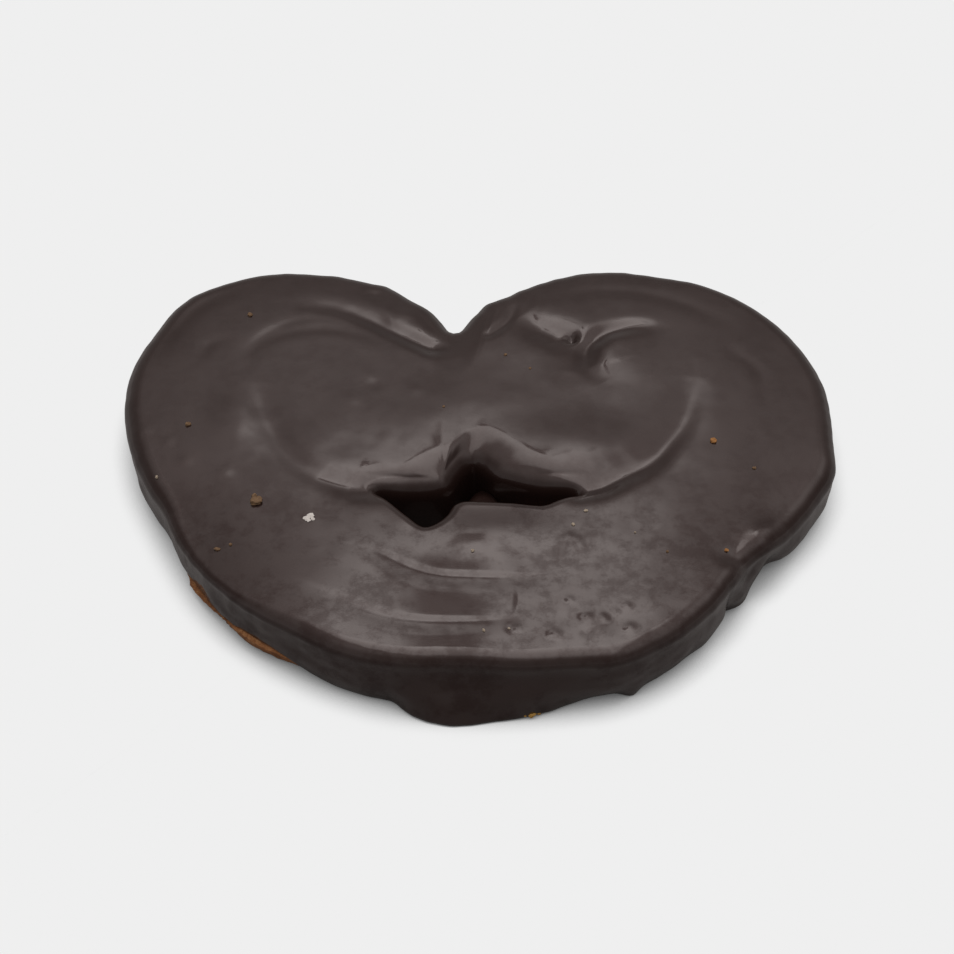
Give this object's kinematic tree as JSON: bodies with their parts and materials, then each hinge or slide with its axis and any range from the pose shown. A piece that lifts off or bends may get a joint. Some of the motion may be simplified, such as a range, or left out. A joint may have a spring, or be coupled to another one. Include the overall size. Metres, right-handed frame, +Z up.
{
  "type": "chocolate-coated palmier pastry",
  "caption": "Heart-shaped rolled puff pastry, two scrolls meeting over a curved base with a gap between them, dipped in dark chocolate, lying flat.",
  "frame": {"origin": "middle of the footprint, on the surface the pastry lies on", "axes": "+Z up, +Y towards the notch between the two scrolls, +X to the right seen from the base"},
  "size_m": [0.1718, 0.1408, 0.0191],
  "materials": {
    "pastry": "matt baked puff pastry, golden brown, flaky",
    "chocolate": "dark chocolate, satin sheen"
  },
  "bodies": {
    "root": {"pastry": "pastry", "chocolate_coat": "chocolate"}
  },
  "joints": []
}
